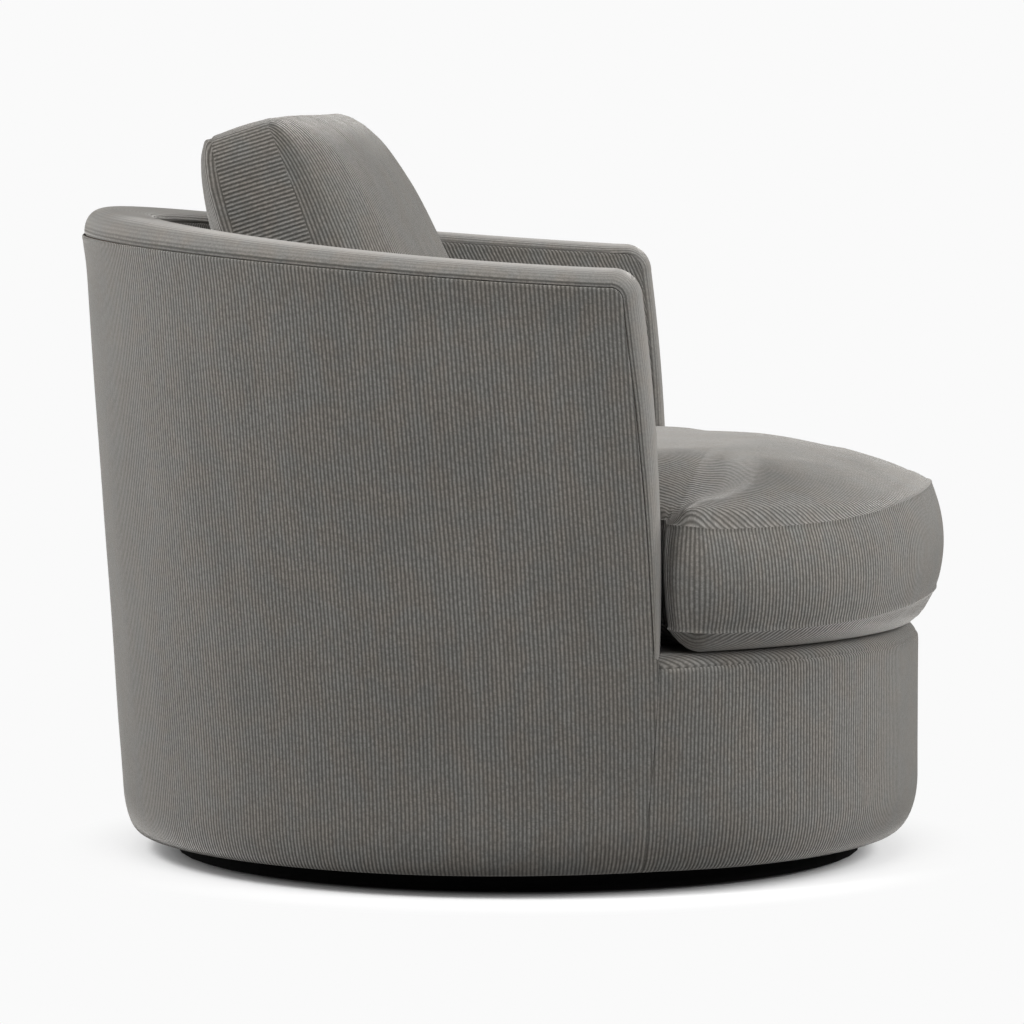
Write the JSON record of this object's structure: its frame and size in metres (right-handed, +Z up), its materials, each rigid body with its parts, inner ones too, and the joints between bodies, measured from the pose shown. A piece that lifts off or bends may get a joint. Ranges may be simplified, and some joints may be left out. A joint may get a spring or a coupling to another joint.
{
  "type": "swivel barrel chair",
  "caption": "Round upholstered barrel chair in ribbed fabric, with a loose T seat cushion and back pillow, turning on a low black plinth.",
  "frame": {"origin": "on the floor, on the swivel axis", "axes": "+Z up, the sitter faces -Y, +X to the sitter's left"},
  "size_m": [0.8966, 0.8922, 0.762],
  "materials": {
    "rib_fabric": "fine rib weave, matt",
    "plinth_black": "black stain, satin",
    "plywood": "raw, sawn edges",
    "hardboard": "raw hardboard",
    "foam": "open cell foam",
    "zinc_steel": "zinc plated",
    "spring_wire": "oiled spring wire",
    "nylon": "moulded",
    "dust_cloth": "non-woven cloth"
  },
  "bodies": {
    "base": {"plinth_hoop": "plinth_black", "plinth_disc": "plywood", "glide_1": "nylon", "glide_2": "nylon", "glide_3": "nylon", "glide_4": "nylon", "glide_5": "nylon", "glide_6": "nylon", "swivel_lower_plate": "zinc_steel", "swivel_pin": "zinc_steel", "lower_screw_1": "zinc_steel", "lower_screw_2": "zinc_steel", "lower_screw_3": "zinc_steel", "lower_screw_4": "zinc_steel"},
    "ball_ring": {"ball_cage": "zinc_steel"},
    "shell": {"bottom_board": "plywood", "arm_post_left": "plywood", "arm_post_right": "plywood", "seat_board": "plywood", "mid_rail": "plywood", "top_rail": "plywood", "upright_1": "plywood", "upright_2": "plywood", "upright_3": "plywood", "upright_4": "plywood", "upright_5": "plywood", "front_post_1": "plywood", "front_post_2": "plywood", "front_post_3": "plywood", "swivel_upper_plate": "zinc_steel", "spring_clips_front": "zinc_steel", "spring_clips_rear": "zinc_steel", "upper_screw_1": "zinc_steel", "upper_screw_2": "zinc_steel", "upper_screw_3": "zinc_steel", "upper_screw_4": "zinc_steel", "dust_cover": "dust_cloth", "seat_spring_1": "spring_wire", "seat_spring_2": "spring_wire", "seat_spring_3": "spring_wire", "seat_spring_4": "spring_wire", "seat_spring_5": "spring_wire", "deck_pad": "foam", "edge_foam": "foam", "inner_foam": "foam", "rim_foam": "foam", "outer_skin": "hardboard", "front_skin": "hardboard", "outer_cover": "rib_fabric", "inner_cover": "rib_fabric", "rim_band": "rib_fabric", "base_front_cover": "rib_fabric", "deck_cover": "rib_fabric"},
    "cushion": {"seat_cushion": "rib_fabric"},
    "pillow": {"back_pillow": "rib_fabric"}
  },
  "joints": [
    {"name": "chair_turn", "type": "hinge", "parent": "base", "child": "shell", "pos_m": [0, 0, 0.0221], "axis": [0, 0, 1], "continuous": true},
    {"name": "ball_ring_turn", "type": "hinge", "parent": "base", "child": "ball_ring", "pos_m": [0, 0, 0.0221], "axis": [0, 0, 1], "continuous": true},
    {"name": "cushion_lift", "type": "slide", "parent": "shell", "child": "cushion", "axis": [0, 0, 1], "range_m": [0, 0.45]},
    {"name": "pillow_lift", "type": "slide", "parent": "cushion", "child": "pillow", "axis": [0, 0, 1], "range_m": [0, 0.4]}
  ],
  "couplings": [
    {"joint": "ball_ring_turn", "follows": "chair_turn", "ratio": 0.5}
  ]
}
